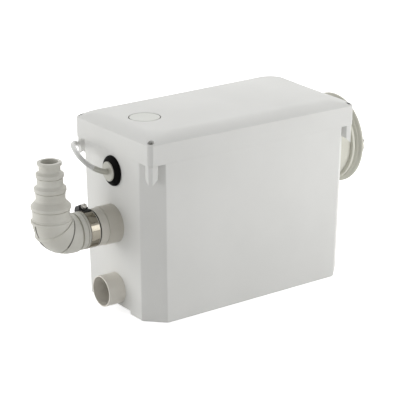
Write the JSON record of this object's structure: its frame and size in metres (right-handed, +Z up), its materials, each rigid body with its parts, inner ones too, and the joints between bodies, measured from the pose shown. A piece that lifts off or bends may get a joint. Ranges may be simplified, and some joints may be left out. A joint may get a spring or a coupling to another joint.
{
  "type": "macerator toilet pump",
  "caption": "Box-shaped macerator pump for a toilet: moulded tank with lift-off lid, round WC sleeve, low waste inlet, stepped discharge elbow, mains lead, cutter and pump inside.",
  "frame": {"origin": "on the floor under the middle of the whole object, without its mains lead", "axes": "+X from the discharge elbow towards the WC sleeve, front face towards -Y, +Z up"},
  "size_m": [0.499, 0.3127, 0.2518],
  "materials": {
    "shell": "satin white moulding",
    "cap": "satin white moulding",
    "trim": "warm grey moulding",
    "elbow_rubber": "warm grey moulded rubber",
    "gaiter_rubber": "pale grey moulded rubber",
    "black_rubber": "black rubber",
    "gland": "pale grey plastic",
    "steel": "bright steel strip",
    "dark_steel": "dark plated steel",
    "lead": "grey PVC sheath",
    "plug": "grey plug moulding",
    "inner_plastic": "grey inner moulding",
    "motor_paint": "dark enamel",
    "iron": "stamped iron sheet",
    "copper": "enamelled copper wire",
    "filter": "active carbon foam",
    "blade": "ground stainless steel",
    "capacitor_can": "white can"
  },
  "bodies": {
    "tank_group": {"tank": "shell", "lid_seal": "black_rubber", "outlet_socket": "trim", "valve_body": "trim", "flap_pin": "steel", "inlet_spigot": "trim", "inlet_flap_pin": "steel", "wc_collar": "trim", "wc_gaiter": "gaiter_rubber", "wc_clamp_band": "steel", "wc_clamp_housing": "steel", "cable_grommet": "black_rubber", "cable_gland": "gland", "inner_lead": "lead", "mains_lead": "lead", "lead_coil": "lead", "lead_tail": "lead", "lead_tie": "black_rubber", "plug_body": "plug", "plug_pins": "steel", "motor_deck": "inner_plastic", "deck_screws": "steel", "motor_housing": "motor_paint", "motor_cap": "motor_paint", "motor_screws": "steel", "stator": "iron", "windings": "copper", "bearings": "steel", "shaft_seal": "black_rubber", "basket": "shell", "pump_casing": "inner_plastic", "suction_plate": "inner_plastic", "discharge_hose": "black_rubber", "hose_clips": "steel", "pressure_chamber": "inner_plastic", "diaphragm": "black_rubber", "switch_cap": "inner_plastic", "microswitch": "plug", "capacitor": "capacitor_can", "capacitor_clip": "inner_plastic", "terminal_box": "inner_plastic"},
    "rotor_group": {"rotor": "iron", "motor_shaft": "steel", "cutter_blade": "blade", "impeller": "inner_plastic"},
    "lid_group": {"lid": "shell", "lid_screws": "dark_steel", "carbon_filter": "filter"},
    "vent_cap_part": {"vent_cap": "cap"},
    "discharge_flap_part": {"discharge_flap": "black_rubber"},
    "inlet_flap_part": {"inlet_flap": "black_rubber"},
    "elbow_group": {"discharge_elbow": "elbow_rubber", "elbow_clamp_band": "steel", "elbow_clamp_housing": "dark_steel"},
    "elbow_screw_part": {"elbow_clamp_screw": "steel"},
    "wc_screw_part": {"wc_clamp_screw": "steel"},
    "plunger_group": {"switch_plunger": "cap", "micro_button": "plug"}
  },
  "joints": [
    {"name": "rotor_spin", "type": "hinge", "parent": "tank_group", "child": "rotor_group", "pos_m": [0.034, 0, 0.1], "axis": [0, 0, 1], "continuous": true},
    {"name": "lid_lift", "type": "slide", "parent": "tank_group", "child": "lid_group", "axis": [0, 0, 1], "range_m": [0, 0.15]},
    {"name": "vent_cap_lift", "type": "slide", "parent": "lid_group", "child": "vent_cap_part", "axis": [0, 0, 1], "range_m": [0, 0.03]},
    {"name": "discharge_flap_swing", "type": "hinge", "parent": "tank_group", "child": "discharge_flap_part", "pos_m": [-0.1595, 0, 0.1326], "axis": [0, 1, 0], "range_deg": [0, 50]},
    {"name": "inlet_flap_swing", "type": "hinge", "parent": "tank_group", "child": "inlet_flap_part", "pos_m": [-0.12351, -0.004, 0.0517], "axis": [0, -1, 0], "range_deg": [0, 45]},
    {"name": "elbow_swivel", "type": "hinge", "parent": "tank_group", "child": "elbow_group", "pos_m": [-0.176, 0, 0.118], "axis": [1, 0, 0], "range_deg": [-90, 90]},
    {"name": "elbow_clamp_screw_turn", "type": "hinge", "parent": "elbow_group", "child": "elbow_screw_part", "pos_m": [-0.17265, 0.01258, 0.1438], "axis": [0, -0.8988, 0.4384], "continuous": true},
    {"name": "wc_clamp_screw_turn", "type": "hinge", "parent": "tank_group", "child": "wc_screw_part", "pos_m": [0.2442, -0.0582, 0.1707], "axis": [0, 0, 1], "continuous": true},
    {"name": "switch_plunger_slide", "type": "slide", "parent": "tank_group", "child": "plunger_group", "axis": [0, 0, 1], "range_m": [0, 0.0025]}
  ]
}
